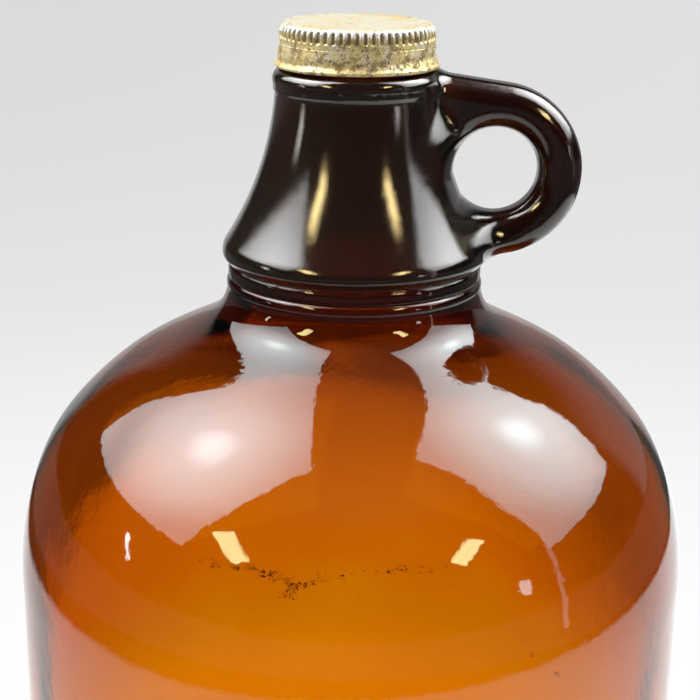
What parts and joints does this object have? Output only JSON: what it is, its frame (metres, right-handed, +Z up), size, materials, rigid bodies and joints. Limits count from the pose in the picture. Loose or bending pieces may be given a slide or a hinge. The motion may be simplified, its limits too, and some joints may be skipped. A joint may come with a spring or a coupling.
{
  "type": "glass jug",
  "caption": "Amber glass jug with a round body, domed shoulder, bell-shaped neck, small ring handle and a knurled tin screw cap.",
  "frame": {"origin": "middle of the base, on the plane the jug stands on", "axes": "+Z up the jug's axis to the cap, +X towards the ring handle, +Y by the right-hand rule"},
  "size_m": [0.1657, 0.1656, 0.2942],
  "materials": {
    "amber_glass": "gloss",
    "cap_tin": "worn lacquer, lightly rusted"
  },
  "bodies": {
    "root": {"jug": "amber_glass", "cap": "cap_tin"}
  },
  "joints": []
}
